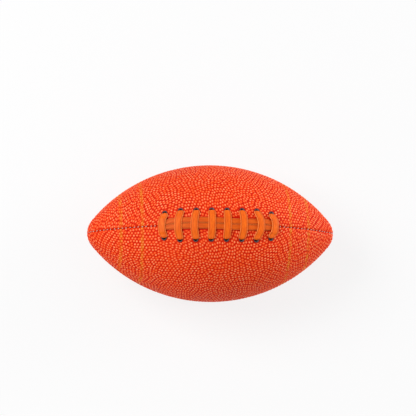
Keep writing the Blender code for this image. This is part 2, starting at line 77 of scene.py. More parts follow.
# Butyl rubber, blown in a mould: a dull near-black skin with a faint bloom of talc.
TALC_PATCH = 0.006
butyl, tree = new_material("butyl_rubber_blown")
here = add(tree, "ShaderNodeTexCoord", {}).outputs["Object"]
cloud = add(tree, "ShaderNodeTexNoise", {"Vector": here, "Scale": 1 / TALC_PATCH, "Detail": 5.0})
talc = add(tree, "ShaderNodeMapRange", {"Value": cloud, "From Min": 0.5, "From Max": 0.8})
skin = add(tree, "ShaderNodeMix", {0: talc, 6: linear("#242427"), 7: linear("#4a4846")}, data_type="RGBA")
bump = add(tree, "ShaderNodeBump", {"Height": cloud, "Strength": 0.2, "Distance": 0.0002})
shader = add(tree, "ShaderNodeBsdfPrincipled", {
    "Base Color": skin, "Normal": bump, "Roughness": 0.55, "Specular IOR Level": 0.35,
})
add(tree, "ShaderNodeOutputMaterial", {"Surface": shader})


def dress(node_name, material):
    """Gives a CAD node that stays its better material."""
    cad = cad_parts[node_name]
    cad.material_slots[0].material = material


dress("bladder", butyl)


# Linings
# Two plies of cotton cloth glued under each panel. They keep the cover from stretching, and show only
# through the lace slots and the valve hole.

# Cotton cloth, plain woven: cream yarns over and under one another, with the soft edge of their fluff.
YARN = 0.0006
cotton, tree = new_material("cotton_lining_woven")
here = add(tree, "ShaderNodeTexCoord", {}).outputs["Object"]
threads = []
for way in ("X", "Y"):
    threads.append(add(
        tree, "ShaderNodeTexWave", {"Vector": here, "Scale": 0.5 / YARN, "Distortion": 0.6},
        bands_direction=way,
    ).outputs["Fac"])
weave = add(tree, "ShaderNodeMath", {0: threads[0], 1: threads[1]}, operation="MAXIMUM")
cloth = add(tree, "ShaderNodeMix", {0: weave, 6: linear("#9c9078"), 7: linear("#ddd2ba")}, data_type="RGBA")
bump = add(tree, "ShaderNodeBump", {"Height": weave, "Strength": 0.4, "Distance": 0.0002})
shader = add(tree, "ShaderNodeBsdfPrincipled", {
    "Base Color": cloth, "Normal": bump, "Roughness": 0.9, "Sheen Weight": 0.25,
})
add(tree, "ShaderNodeOutputMaterial", {"Surface": shader})

QUARTERS = {"top_back": 0, "bottom_back": 1, "bottom_front": 2, "top_front": 3}
for quarter in QUARTERS:
    dress("lining_" + quarter, cotton)


# Panels
# Four pointed panels of composite leather, a soft coated sheet embossed with pebbles. They are sewn
# inside out along four seams, turned, and blown up tight, so each edge rolls down into its seam.
LENGTH = 0.266
BELLY = 0.07335
NOSE_RADIUS = 0.0215
GAP = 0.0003
COVER = 0.0022
SEAM_EDGE_RADIUS = 0.0025
SEAM_ALLOWANCE = 0.0022
ALLOWANCE_DEPTH = 0.0033
FULL_EDGE_FROM = 0.0065
TIP_OPENING = 0.0004
QUARTER_STEPS = 6
GRID = 0.00066

NOSE_X = LENGTH / 2 - NOSE_RADIUS
ARC_RADIUS = (NOSE_X**2 + BELLY**2 - NOSE_RADIUS**2) / (2 * (BELLY - NOSE_RADIUS))
ARC_DROP = ARC_RADIUS - BELLY
MEET_TILT = atan2(NOSE_X, ARC_DROP)
END_TILT = acos(TIP_OPENING / NOSE_RADIUS)

PEBBLE_PITCH = 0.0035
PEBBLE_RADIUS = 0.0017
PEBBLE_HEIGHT = 0.00055
PEBBLE_STRETCH = 1.18
PEBBLE_SEED = 11
PUSH_ROUNDS = 60
PUSH_REACH = 1.12
NEIGHBOURS = 7
VALLEY_WIDTH = 0.5


def profile(tilt):
    """Outline where its normal leans by tilt from upright: (x, radius)."""
    nose = np.abs(tilt) > MEET_TILT
    on_nose = np.sign(tilt) * NOSE_X + NOSE_RADIUS * np.sin(tilt)
    x = np.where(nose, on_nose, ARC_RADIUS * np.sin(tilt))
    radius = np.where(nose, NOSE_RADIUS * np.cos(tilt), ARC_RADIUS * np.cos(tilt) - ARC_DROP)
    return x, radius


def tilt_at(x):
    if abs(x) <= ARC_RADIUS * sin(MEET_TILT):
        return asin(x / ARC_RADIUS)
    side = 1 if x > 0 else -1
    return asin((x - side * NOSE_X) / NOSE_RADIUS)


def tilt_along(run):
    """Tilt at a length along the outline, measured from the middle."""
    belly = ARC_RADIUS * MEET_TILT
    past = np.maximum(np.abs(run) - belly, 0)
    return np.sign(run) * (np.minimum(np.abs(run), belly) / ARC_RADIUS + past / NOSE_RADIUS)


def outward(tilt, angle):
    tilt, angle = np.broadcast_arrays(tilt, angle)
    return np.stack((np.sin(tilt), np.cos(tilt) * np.sin(angle), np.cos(tilt) * np.cos(angle)), -1)


def place(tilt, angle, depth):
    """Point at a depth under the surface; angle turns from the top towards +Y."""
    x, radius = profile(tilt)
    x, radius, angle = np.broadcast_arrays(x, radius, angle)
    on_surface = np.stack((x, radius * np.sin(angle), BELLY + radius * np.cos(angle)), -1)
    return on_surface - np.asarray(depth)[..., None] * outward(tilt, angle)


def standing_on(tilt, angle):
    """Placement whose local Z is the surface normal and whose origin lies on the surface."""
    normal = Vector(outward(tilt, angle))
    across = Vector((0, cos(angle), -sin(angle)))
    turn = Matrix((across.cross(normal), across, normal)).transposed().to_4x4()
    return Matrix.Translation(Vector(place(tilt, angle, 0.0))) @ turn


def grain_way(run, across):
    """The way the pebbles stretch: it swirls slowly over the embossed sheet."""
    return (
        0.5
        + 1.1 * np.sin(run / 0.031 + 1.4 * np.sin(across / 0.019))
        + 0.8 * np.sin(across / 0.023 - 0.6 * np.sin(run / 0.045))
    )


def stretched_distance(step, way, stretch=PEBBLE_STRETCH):
    along = step[..., 0] * np.cos(way) + step[..., 1] * np.sin(way)
    across = step[..., 1] * np.cos(way) - step[..., 0] * np.sin(way)
    return np.hypot(along / stretch, across * stretch)


def nearest(points, asked, count):
    """Numbers of the points that lie nearest to each place asked for."""
    tree_of_points = KDTree(len(points))
    for i, point in enumerate(points.tolist()):
        tree_of_points.insert((*point, 0.0), i)
    tree_of_points.balance()
    return np.array([[hit[1] for hit in tree_of_points.find_n((*p, 0.0), count)] for p in asked.tolist()])


def embossed_pebbles(half_run, half_across):
    """Pebbles that have pushed one another into swirling rows."""
    rng = np.random.default_rng(PEBBLE_SEED)
    area = 4 * half_run * half_across
    count = int(area / (PEBBLE_PITCH**2 * sqrt(3) / 2))
    size = np.array((half_run, half_across))
    pebbles = rng.uniform(-1, 1, (count, 2)) * size
    for turn in range(PUSH_ROUNDS):
        close = nearest(pebbles, pebbles, NEIGHBOURS + 1)[:, 1:]
        step = pebbles[:, None] - pebbles[close]
        distance = stretched_distance(step, grain_way(*pebbles.T)[:, None]) + 1e-9
        push = np.maximum(0, 1 - distance / (PUSH_REACH * PEBBLE_PITCH))[..., None]
        pebbles += 0.5 * (step / distance[..., None] * push).sum(1) * PEBBLE_PITCH
        pebbles = np.clip(pebbles, -size, size)
    return pebbles


def pebble_field(run, across):
    """Height share and pebble number at each place of the embossed sheet."""
    pebbles = embossed_pebbles(run.max() + PEBBLE_PITCH, across.max() + PEBBLE_PITCH)
    asked = np.stack((run.ravel(), across.ravel()), -1)
    close = nearest(pebbles, asked, 3)
    way = grain_way(*pebbles.T)[close]
    distance = stretched_distance(asked[:, None] - pebbles[close], way)
    order = np.argsort(distance, axis=1)
    distance = np.take_along_axis(distance, order, 1) / PEBBLE_PITCH
    owner = np.take_along_axis(close, order, 1)[:, 0]
    dome = np.clip(1 - (distance[:, 0] * PEBBLE_PITCH / PEBBLE_RADIUS) ** 2, 0, 1)
    valley = np.clip((distance[:, 1] - distance[:, 0]) / VALLEY_WIDTH, 0, 1)
    height = dome * np.sqrt(valley)
    tone = np.random.default_rng(PEBBLE_SEED).random(len(pebbles))[owner]
    return height.reshape(run.shape), tone.reshape(run.shape)


# The grid that all four panels share: rows across the ball, and in each row an outer chain of points
# from one seam to the next and an inner chain back under it.
EDGE_COLUMNS = 8
ROLL_TURNS = np.radians((0, 20, 40, 58, 75))
SEAM_FADE = (0, 0, 0, 0.25, 0.6, 0.85, 0.97)
SEAM_TONE = 0.25
half_run = ARC_RADIUS * MEET_TILT + NOSE_RADIUS * (END_TILT - MEET_TILT)
rows = 2 * round(half_run / GRID)
columns = 2 * round(BELLY * pi / 4 / GRID) - EDGE_COLUMNS
runs = np.linspace(-half_run, half_run, rows + 1)[:, None]
tilts = tilt_along(runs)
row_radius = profile(tilts)[1]
edge = np.minimum(1, row_radius / FULL_EDGE_FROM)
face = np.minimum(GAP / 2, row_radius / 10)
roll = edge * SEAM_EDGE_RADIUS
back = face + edge * SEAM_ALLOWANCE
band = face + edge * (SEAM_EDGE_RADIUS + GAP)
all_rows = np.ones_like(runs)


def angle_beside_seam(offset, depth):
    return np.arcsin(offset / (row_radius - depth * np.cos(tilts)))


def chain(near, middle_angles, middle_depth):
    """Angles and depths of one chain, from (offset, depth) pairs beside the near seam."""
    near_angles = np.hstack([angle_beside_seam(u, d) for u, d in near])
    near_depths = np.hstack([d * all_rows for u, d in near])
    angles = np.hstack((near_angles, middle_angles, pi / 2 - near_angles[:, ::-1]))
    middle_depths = middle_depth + 0 * middle_angles
    return angles, np.hstack((near_depths, middle_depths, near_depths[:, ::-1]))


rolled_edge = [(face, ALLOWANCE_DEPTH), (face, (ALLOWANCE_DEPTH + roll) / 2)]
rolled_edge += [(face + roll * (1 - cos(t)), roll * (1 - sin(t))) for t in ROLL_TURNS]
first = angle_beside_seam(face + roll, 0.0)
across_outer = first + (pi / 2 - 2 * first) * np.linspace(0, 1, columns + 1)
outer_angles, outer_depths = chain(rolled_edge, across_outer, 0.0)

turned_in = [(back, d) for d in (ALLOWANCE_DEPTH, (ALLOWANCE_DEPTH + COVER) / 2, COVER)] + [(band, COVER)]
first = angle_beside_seam(band, ALLOWANCE_DEPTH)
across_inner = first + (pi / 2 - 2 * first) * np.arange(1, QUARTER_STEPS) / QUARTER_STEPS
inner_angles, inner_depths = chain(turned_in, across_inner, COVER)

height, tone = pebble_field(runs + 0 * outer_angles, row_radius * (outer_angles - pi / 4))
fade = np.ones(outer_angles.shape[1])
fade[: len(SEAM_FADE)] = SEAM_FADE
fade[-len(SEAM_FADE) :] = SEAM_FADE[::-1]


def eased(value, low, high):
    share = np.clip((value - low) / (high - low), 0, 1)
    return share * share * (3 - 2 * share)


def ring_faces(ring_rows, ring):
    """Quads round a grid of closed rings, facing out."""
    first_corner = np.arange(ring_rows - 1)[:, None] * ring + np.arange(ring)
    next_corner = np.arange(ring_rows - 1)[:, None] * ring + (np.arange(ring) + 1) % ring
    quads = (first_corner, first_corner + ring, next_corner + ring, next_corner)
    return np.stack(quads, -1).reshape(-1, 4)


def capped_between(outer, inner):
    """Triangles between two chains of point numbers that start and end side by side."""
    triangles = []
    i = k = 0
    while i < len(outer) - 1 or k < len(inner) - 1:
        outer_behind = i / (len(outer) - 1) <= k / (len(inner) - 1)
        if k == len(inner) - 1 or (i < len(outer) - 1 and outer_behind):
            triangles.append((outer[i + 1], outer[i], inner[k]))
            i += 1
        else:
            triangles.append((inner[k], inner[k + 1], outer[i]))
            k += 1
    return triangles


def new_object(name, points, faces, material, sharp=60):
    mesh = bpy.data.meshes.new(name)
    mesh.from_pydata(np.asarray(points).reshape(-1, 3).tolist(), [], [list(map(int, f)) for f in faces])
    mesh.shade_smooth()
    mesh.set_sharp_from_angle(angle=radians(sharp))
    mesh.materials.append(material)
    made = bpy.data.objects.new(name, mesh)
    bpy.context.scene.collection.objects.link(made)
    return made


def store(made, name, kind, values):
    """Keeps a number or vector at each point of the mesh, for the material to read."""
    attribute = made.data.attributes.new(name, kind, "POINT")
    field = "value" if kind == "FLOAT" else "vector"
    attribute.data.foreach_set(field, np.ascontiguousarray(values, dtype=np.float32).ravel())


def cut_away(made, tools):
    """Cuts the tools' shapes out of a piece and removes the tools."""
    for tool in tools:
        modifier = made.modifiers.new("cut", "BOOLEAN")
        modifier.solver = "MANIFOLD"
        modifier.object = tool
    bpy.context.view_layer.update()
    cut_mesh = bpy.data.meshes.new_from_object(made.evaluated_get(bpy.context.evaluated_depsgraph_get()))
    made.modifiers.clear()
    made.data = cut_mesh
    for tool in tools:
        bpy.data.objects.remove(tool)


# Composite leather: a polyurethane coat on a soft backing, embossed with pebbles. Painted light: the crowns
# are painted paler as painted glints, and the valleys deep red as painted shade. Worn gold bands ring both
# ends.
BAND_PLACES = (0.0800, 0.1012)
BAND_WIDTH = 0.0030
BAND_BOW = 0.7
CLOUD = 0.035
PORE = 0.0010
leather, tree = new_material("composite_leather_embossed")
here = add(tree, "ShaderNodeTexCoord", {}).outputs["Object"]
crown = add(tree, "ShaderNodeAttribute", {}, attribute_name="pebble").outputs["Fac"]
own_tone = add(tree, "ShaderNodeAttribute", {}, attribute_name="tone").outputs["Fac"]
cloud = add(tree, "ShaderNodeTexNoise", {"Vector": here, "Scale": 1 / CLOUD, "Detail": 3.0})
speck = add(tree, "ShaderNodeTexNoise", {"Vector": here, "Scale": 1 / PORE, "Detail": 2.0})
# Painted shade and highlight: the valleys take a deep red and the crowns a paler glint colour.
out_of_valley_shade = add(tree, "ShaderNodeMapRange", {"Value": crown, "From Min": 0.0, "From Max": 0.45})
glint_share = add(tree, "ShaderNodeMapRange", {"Value": crown, "From Min": 0.5, "From Max": 0.9})
shaded_valley_to_flank = add(tree, "ShaderNodeMix", {0: out_of_valley_shade, 6: linear("#c81600"), 7: linear("#f84412")}, data_type="RGBA")
painted_glint = add(tree, "ShaderNodeMix", {
    0: own_tone, 6: linear("#ff6e2e"), 7: linear("#ffa670"),
}, data_type="RGBA")
red = add(tree, "ShaderNodeMix", {0: glint_share, 6: shaded_valley_to_flank, 7: painted_glint}, data_type="RGBA")
drift = add(tree, "ShaderNodeMapRange", {"Value": cloud, "From Min": 0.4, "From Max": 0.7, "To Max": 0.22})
red = add(tree, "ShaderNodeMix", {0: drift, 6: red, 7: linear("#f84a14")}, data_type="RGBA")
split = add(tree, "ShaderNodeSeparateXYZ", {0: here})
reach = add(tree, "ShaderNodeMath", {0: split.outputs["X"]}, operation="ABSOLUTE")
bow = add(tree, "ShaderNodeMath", {0: split.outputs["Y"], 1: split.outputs["Y"]}, operation="MULTIPLY")
reach = add(tree, "ShaderNodeMath", {0: bow, 1: BAND_BOW, 2: reach}, operation="MULTIPLY_ADD")
inks = []
for centre in BAND_PLACES:
    away = add(tree, "ShaderNodeMath", {0: reach, 1: centre}, operation="SUBTRACT")
    away = add(tree, "ShaderNodeMath", {0: away}, operation="ABSOLUTE")
    inks.append(add(tree, "ShaderNodeMapRange", {
        "Value": away, "From Min": BAND_WIDTH * 0.3, "From Max": BAND_WIDTH * 0.7,
        "To Min": 1.0, "To Max": 0.0,
    }))
ink = add(tree, "ShaderNodeMath", {0: inks[0], 1: inks[1]}, operation="MAXIMUM")
wear_and_bore_light = add(tree, "ShaderNodeMapRange", {
    "Value": own_tone, "From Min": 0.1, "From Max": 0.9, "To Min": 0.15, "To Max": 0.85,
})
ink = add(tree, "ShaderNodeMath", {0: ink, 1: wear_and_bore_light}, operation="MULTIPLY")
# The gold ink is painted paler on the crowns than in the valleys: painted highlight and shade.
gold = add(tree, "ShaderNodeMix", {0: crown, 6: linear("#d8600c"), 7: linear("#f0902c")}, data_type="RGBA")
inked = add(tree, "ShaderNodeMix", {0: ink, 6: red, 7: gold}, data_type="RGBA")
gloss = add(tree, "ShaderNodeMapRange", {"Value": crown, "To Min": 0.65, "To Max": 0.32})
bump = add(tree, "ShaderNodeBump", {"Height": speck, "Strength": 0.2, "Distance": 0.0001})
shader = add(tree, "ShaderNodeBsdfPrincipled", {
    "Base Color": inked, "Roughness": gloss, "Normal": bump, "Specular IOR Level": 0.08,
})
add(tree, "ShaderNodeOutputMaterial", {"Surface": shader})

# Where the lace and the valve go through the cover
CROSSINGS = 8
CROSSING_PITCH = 0.0164
HOLE_HALF_SPREAD = 0.0155
END_HOLE_HALF_SPREAD = 0.0131
HOLE_SKEW = 0.0005
CROSSING_BOWS = (-0.0025, -0.0024, -0.0019, 0.0004, 0.0005, 0.0018, 0.0042, 0.0034)
HOLE_RADIUS = 0.00275
STRAND_WIDTH = 0.0060
STRAND_OFF_SEAM = 0.0012
TUCK_SLOT = (0.0025, 0.0089)
VALVE_ANGLE = radians(120)
VALVE_HOLE_RADIUS = 0.0035
VALVE_DIMPLE = 0.0008
VALVE_DIMPLE_WIDTH = 0.0014
HOLE_TOOL_REACH = 0.012
SLOT_TOOL_REACH = 0.02
TOOL_SIDES = 40

# How far from the middle of a hole, or from the edge of a strand, the pebbles fade in
ROUND_EYELET = (0.0030, 0.0044)
ROUND_VALVE = (0.0042, 0.0060)
BESIDE_STRANDS = (0.0004, 0.0020)
SMOOTH_ROUND_VALVE = 0.0055

# How the four panels' skins share the texture map: v runs round the section, outer skin first
MAP_ROWS = (0.005, 0.995)
MAP_OUTER = (0.005, 0.90)
MAP_INNER = (0.92, 0.98)
MAP_TURNS = (0.91, 0.99)
MAP_CAP = ((0.0, 0.995), (0.001, 0.995), (0.0, 0.999))


def hole_x(i, side=0):
    """The back row of holes stands a little ahead of the front row."""
    return (i - (CROSSINGS - 1) / 2) * CROSSING_PITCH + side * HOLE_SKEW


def hole_y(i):
    return END_HOLE_HALF_SPREAD if i in (0, CROSSINGS - 1) else HOLE_HALF_SPREAD


def tuck_x(end):
    """Where the lengthwise strands go down, under the first and last crossing."""
    i = 0 if end < 0 else CROSSINGS - 1
    return hole_x(i) + CROSSING_BOWS[i]


def hole_placement(i, side):
    tilt = tilt_at(hole_x(i, side))
    return standing_on(tilt, side * asin(hole_y(i) / float(profile(tilt)[1])))


def round_tool(placement, radius):
    bm = bmesh.new()
    bmesh.ops.create_cone(
        bm, cap_ends=True, segments=TOOL_SIDES, radius1=radius, radius2=radius, depth=HOLE_TOOL_REACH,
        matrix=placement,
    )
    return tool_object(bm)


def slot_tool(placement):
    bm = bmesh.new()
    bmesh.ops.create_cube(bm, size=1, matrix=placement @ Matrix.Diagonal((*TUCK_SLOT, SLOT_TOOL_REACH, 1)))
    return tool_object(bm)


def tool_object(bm):
    mesh = bpy.data.meshes.new("tool")
    bm.to_mesh(mesh)
    bm.free()
    made = bpy.data.objects.new("tool", mesh)
    bpy.context.scene.collection.objects.link(made)
    return made


def flipped(values, quarter):
    """The four panels are cut from the same embossed sheet, each turned another way."""
    return values[:: (1, 1, -1, -1)[quarter], :: (1, -1, 1, -1)[quarter]]


def map_out(panel, ring, caps):
    """Texture map of a panel, row by row along the ball, with the end caps in one corner."""
    outer_count = outer_angles.shape[1]
    outer_stops = np.linspace(*MAP_OUTER, outer_count)
    inner_stops = np.linspace(*MAP_INNER, ring - outer_count)
    low = np.concatenate((outer_stops, inner_stops))
    high = np.concatenate((outer_stops[1:], MAP_TURNS[:1], inner_stops[1:], MAP_TURNS[1:]))
    along = np.linspace(*MAP_ROWS, rows + 1)
    corner_u = along[np.arange(rows)[:, None] + np.array((0, 1, 1, 0))]
    corner_v = np.stack((low, low, high, high), -1)
    corners = np.stack(np.broadcast_arrays(corner_u[:, None], corner_v[None]), -1).reshape(-1, 2)
    corners = np.concatenate((corners, np.tile(MAP_CAP, (len(caps), 1))))
    layer = panel.data.uv_layers.new(name="OFBake")
    layer.data.foreach_set("uv", corners.astype(np.float32).ravel())


def pebbles_left(quarter, surface, crowns):
    """The pebbles' height where eyelets, strands and the valve leave the leather smooth."""
    if quarter.startswith("top"):
        from_hole = np.min([np.linalg.norm(surface - spot, axis=-1) for spot in hole_spots], axis=0)
        crowns = crowns * eased(from_hole, *ROUND_EYELET)
        from_strands = np.abs(surface[..., 1] - STRAND_OFF_SEAM) - STRAND_WIDTH
        # Beside the strands the pebbles are flattened, and their dark valley colour there is a painted
        # shade line along the strands.
        flattened_with_painted_shade = crowns * eased(from_strands, *BESIDE_STRANDS)
        return np.where(np.abs(surface[..., 0]) < tuck_x(1), flattened_with_painted_shade, crowns)
    if quarter == "bottom_back":
        return crowns * eased(np.linalg.norm(surface - valve_spot, axis=-1), *ROUND_VALVE)
    return crowns


hole_spots = [np.array(hole_placement(i, side).translation) for i in range(CROSSINGS) for side in (-1, 1)]
valve_spot = np.array(standing_on(0.0, VALVE_ANGLE).translation)
for quarter, turn in QUARTERS.items():
    start = turn * pi / 2
    surface = place(tilts, outer_angles + start, 0.0)
    embossed = flipped(height, turn) * fade
    crowns = pebbles_left(quarter, surface, embossed)
    rise = (crowns - 0.5 * fade) * PEBBLE_HEIGHT
    if quarter == "bottom_back":
        from_valve = np.linalg.norm(surface - valve_spot, axis=-1)
        dimple = np.clip((VALVE_HOLE_RADIUS + VALVE_DIMPLE_WIDTH - from_valve) / VALVE_DIMPLE_WIDTH, 0, 1)
        sunk = (crowns - 0.5) * PEBBLE_HEIGHT - VALVE_DIMPLE * dimple**2
        pebbled = (embossed - 0.5 * fade) * PEBBLE_HEIGHT
        rise = np.where(from_valve < SMOOTH_ROUND_VALVE, sunk, pebbled)
    outer_skin = place(tilts, outer_angles + start, outer_depths - rise)
    inner_skin = place(tilts, inner_angles + start, inner_depths)
    points = np.concatenate((outer_skin, inner_skin[:, ::-1]), axis=1)
    ring = points.shape[1]
    chain_outer = np.arange(outer_angles.shape[1])
    chain_inner = ring - 1 - np.arange(inner_angles.shape[1])
    last = rows * ring
    caps = [triangle[::-1] for triangle in capped_between(chain_outer, chain_inner)]
    caps += capped_between(chain_outer + last, chain_inner + last)
    quads = ring_faces(rows + 1, ring).tolist()
    panel = new_object("cover_" + quarter, points, quads + caps, leather, 75)
    back_side = 0 * inner_angles
    store(panel, "pebble", "FLOAT", np.hstack((crowns + SEAM_TONE * (1 - fade), back_side)))
    store(panel, "tone", "FLOAT", np.hstack((flipped(tone, turn), back_side)))
    map_out(panel, ring, caps)
    if quarter.startswith("top"):
        side = 1 if quarter == "top_back" else -1
        tools = [round_tool(hole_placement(i, side), HOLE_RADIUS) for i in range(CROSSINGS)]
        tools += [slot_tool(standing_on(tilt_at(tuck_x(end)), 0.0)) for end in (-1, 1)]
        cut_away(panel, tools)
    if quarter == "bottom_back":
        cut_away(panel, [round_tool(standing_on(0.0, VALVE_ANGLE), VALVE_HOLE_RADIUS)])
    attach(panel, "root")
    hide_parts("panel_" + quarter)


# Seam threads
# Waxed polyester thread, two plies twisted. The lockstitch pulls both panel edges together from the
# inside, and each stitch shows as a short pale bar at the bottom of the seam.
STITCH_PITCH = 0.0047
STITCH_REACH = 0.0007
STITCH_DEPTH = 0.00085
STITCH_ARCH = 0.0012
STITCH_ACROSS = 0.0008
STITCH_LEAN = 0.55
STITCH_TAPER = 0.97
STITCH_LEAST_RADIUS = 0.004
UNEVEN_PITCH = 0.0004
UNEVEN_LEAN = 0.35
UNEVEN_DEPTH = 0.00035
STITCH_SEED = 5
THREAD_RADIUS = 0.00038
THREAD_SIDES = 8
THREAD_END_RADIUS = 0.0045
THREAD_CLEAR_OF_LACE = 0.0035
LACE_WIDTH = 0.0080

# Polyester thread, twisted from two plies and waxed: pale, with the dark lines of its twist.
PLY_TWIST = 0.0011
polyester, tree = new_material("polyester_thread_waxed")
on_strap = add(tree, "ShaderNodeAttribute", {}, attribute_name="strap").outputs["Vector"]
plies = add(
    tree, "ShaderNodeTexWave", {"Vector": on_strap, "Scale": 0.5 / PLY_TWIST, "Distortion": 0.3},
    bands_direction="DIAGONAL",
).outputs["Fac"]
twisted = add(tree, "ShaderNodeMix", {
    0: plies, 6: linear("#a88a78"), 7: linear("#fff0e0"),
}, data_type="RGBA")
bump = add(tree, "ShaderNodeBump", {"Height": plies, "Strength": 0.5, "Distance": 0.0002})
shader = add(tree, "ShaderNodeBsdfPrincipled", {
    "Base Color": twisted, "Normal": bump, "Roughness": 0.45, "Sheen Weight": 0.2,
})
add(tree, "ShaderNodeOutputMaterial", {"Surface": shader})


def unit(vectors):
    return vectors / np.linalg.norm(vectors, axis=-1, keepdims=True)


def swept(path, across, outline):
    """Closed skin along a path. across is the way its width lies at each point, and outline holds
    the (sideways, upward) offsets of the cross section there."""
    path = np.asarray(path, float)
    ahead = unit(np.gradient(path, axis=0))
    across = np.asarray(across, float)
    side = unit(across - (across * ahead).sum(-1, keepdims=True) * ahead)
    up = np.cross(ahead, side)
    skin = path[:, None] + outline[..., :1] * side[:, None] + outline[..., 1:] * up[:, None]
    count, ring = skin.shape[:2]
    faces = [f[::-1] for f in ring_faces(count, ring).tolist()]
    faces.append(list(range(ring))[::-1])
    faces.append(list(range((count - 1) * ring, count * ring)))
    along = np.concatenate(([0], np.cumsum(np.linalg.norm(np.diff(path, axis=0), axis=-1))))
    strap = np.stack(np.broadcast_arrays(along[:, None], outline[..., 0], outline[..., 1]), -1)
    return skin.reshape(-1, 3), faces, strap.reshape(-1, 3)


def joined(parts):
    """One mesh out of several skins."""
    points, faces, straps = [], [], []
    count = 0
    for skin, skin_faces, strap in parts:
        points.append(skin)
        faces += [[i + count for i in f] for f in skin_faces]
        straps.append(strap)
        count += len(skin)
    return np.concatenate(points), faces, np.concatenate(straps)


def stitch(run, angle, lean, sunk):
    """One bar of thread that comes up out of one panel edge and goes down into the other."""
    steps = np.linspace(-1, 1, 9)
    tilt = tilt_along(run + steps * STITCH_REACH)
    drop = STITCH_DEPTH + sunk + STITCH_ARCH * steps**2
    offset = lean * steps * STITCH_ACROSS
    path = place(tilt, angle + offset / np.maximum(profile(tilt)[1], STITCH_LEAST_RADIUS), drop)
    turns = np.linspace(0, 2 * pi, THREAD_SIDES + 1)[:-1]
    swell = THREAD_RADIUS * np.sqrt(np.clip(1 - (steps * STITCH_TAPER) ** 4, 0, 1))
    outline = swell[:, None, None] * np.stack((np.cos(turns), np.sin(turns)), -1)
    across = np.broadcast_to((0.0, cos(angle), -sin(angle)), path.shape)
    return swept(path, across, outline)


def run_at(tilt):
    over = max(0.0, abs(tilt) - MEET_TILT)
    return np.sign(tilt) * (ARC_RADIUS * min(abs(tilt), MEET_TILT) + NOSE_RADIUS * over)


thread_end = run_at(acos(THREAD_END_RADIUS / NOSE_RADIUS))
clear = LACE_WIDTH / 2 + THREAD_CLEAR_OF_LACE
SEAMS = {
    "top_left": (0.0, -thread_end, run_at(tilt_at(tuck_x(-1) - clear))),
    "top_right": (0.0, run_at(tilt_at(tuck_x(1) + clear)), thread_end),
    "back": (pi / 2, -thread_end, thread_end),
    "bottom": (pi, -thread_end, thread_end),
    "front": (-pi / 2, -thread_end, thread_end),
}
stitch_rng = np.random.default_rng(STITCH_SEED)
for seam, (angle, low, high) in SEAMS.items():
    count = round((high - low) / STITCH_PITCH)
    bars = []
    for run in np.linspace(low, high, count + 1):
        jitter = stitch_rng.uniform(-1, 1, 3)
        lean = STITCH_LEAN + UNEVEN_LEAN * jitter[1]
        bars.append(stitch(run + UNEVEN_PITCH * jitter[0], angle, lean, UNEVEN_DEPTH * jitter[2]))
    points, faces, strap = joined(bars)
    thread = new_object("stitching_" + seam, points, faces, polyester)
    store(thread, "strap", "FLOAT_VECTOR", strap)
    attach(thread, "root")
    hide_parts("seam_thread_" + seam)


# Valve
# A moulded rubber stem, bonded into the bladder wall, whose end sits just under the cover in a round
# hole. Its softer plug closes on the pump needle's passage.
STEM_BORE = 0.0019
STEM_RADIUS = 0.0032
STEM_SHOULDER = -0.0007
STEM_FOOT = -0.0049
STEM_END = -0.0069
PLUG_BORE = 0.0006
PLUG_RADIUS = 0.0016
PLUG_SHOULDER = -0.0010
PLUG_FOOT = -0.0067
RUBBER_EDGE = 0.0003
VALVE_FLANGE_RADIUS = 0.0070
VALVE_FLANGE_HEIGHTS = (-0.0068, -0.0079)

# Butyl rubber, moulded: black and matt, with the faint haze that rubber grows.
HAZE = 0.0015
moulded, tree = new_material("butyl_rubber_moulded")
here = add(tree, "ShaderNodeTexCoord", {}).outputs["Object"]
haze = add(tree, "ShaderNodeTexNoise", {"Vector": here, "Scale": 1 / HAZE, "Detail": 4.0})
skin = add(tree, "ShaderNodeMix", {0: haze, 6: linear("#151516"), 7: linear("#2c2b2c")}, data_type="RGBA")
bump = add(tree, "ShaderNodeBump", {"Height": haze, "Strength": 0.15, "Distance": 0.0001})
shader = add(tree, "ShaderNodeBsdfPrincipled", {
    "Base Color": skin, "Normal": bump, "Roughness": 0.5, "Specular IOR Level": 0.4,
})
add(tree, "ShaderNodeOutputMaterial", {"Surface": shader})


def turned(name, outline, sides, placement, material):
    """Ring turned about local Z from (radius, height) corners that run round its section."""
    turns = np.linspace(0, 2 * pi, sides + 1)[:-1]
    outline = np.array(outline)
    ring = len(outline)
    local = np.stack(np.broadcast_arrays(
        outline[:, 0] * np.cos(turns)[:, None], outline[:, 0] * np.sin(turns)[:, None], outline[:, 1]
    ), -1).reshape(-1, 3)
    matrix = np.array(placement)
    points = local @ matrix[:3, :3].T + matrix[:3, 3]
    corner = np.arange(sides * ring).reshape(sides, ring)
    after = np.roll(corner, -1, axis=0)
    quads = np.stack((corner, after, np.roll(after, -1, axis=1), np.roll(corner, -1, axis=1)), -1)
    return new_object(name, points, quads.reshape(-1, 4).tolist(), material, 50)


def rounded_corner(centre, radius, start, end, steps=5):
    turns = np.radians(np.linspace(start, end, steps))
    return [(centre[0] + radius * cos(t), centre[1] + radius * sin(t)) for t in turns]


def rounded_top(bore, radius, shoulder):
    """The end of a rubber tube, with both its edges rounded."""
    inner = rounded_corner((bore + RUBBER_EDGE, shoulder), RUBBER_EDGE, 180, 90)
    return inner + rounded_corner((radius - RUBBER_EDGE, shoulder), RUBBER_EDGE, 90, 0)


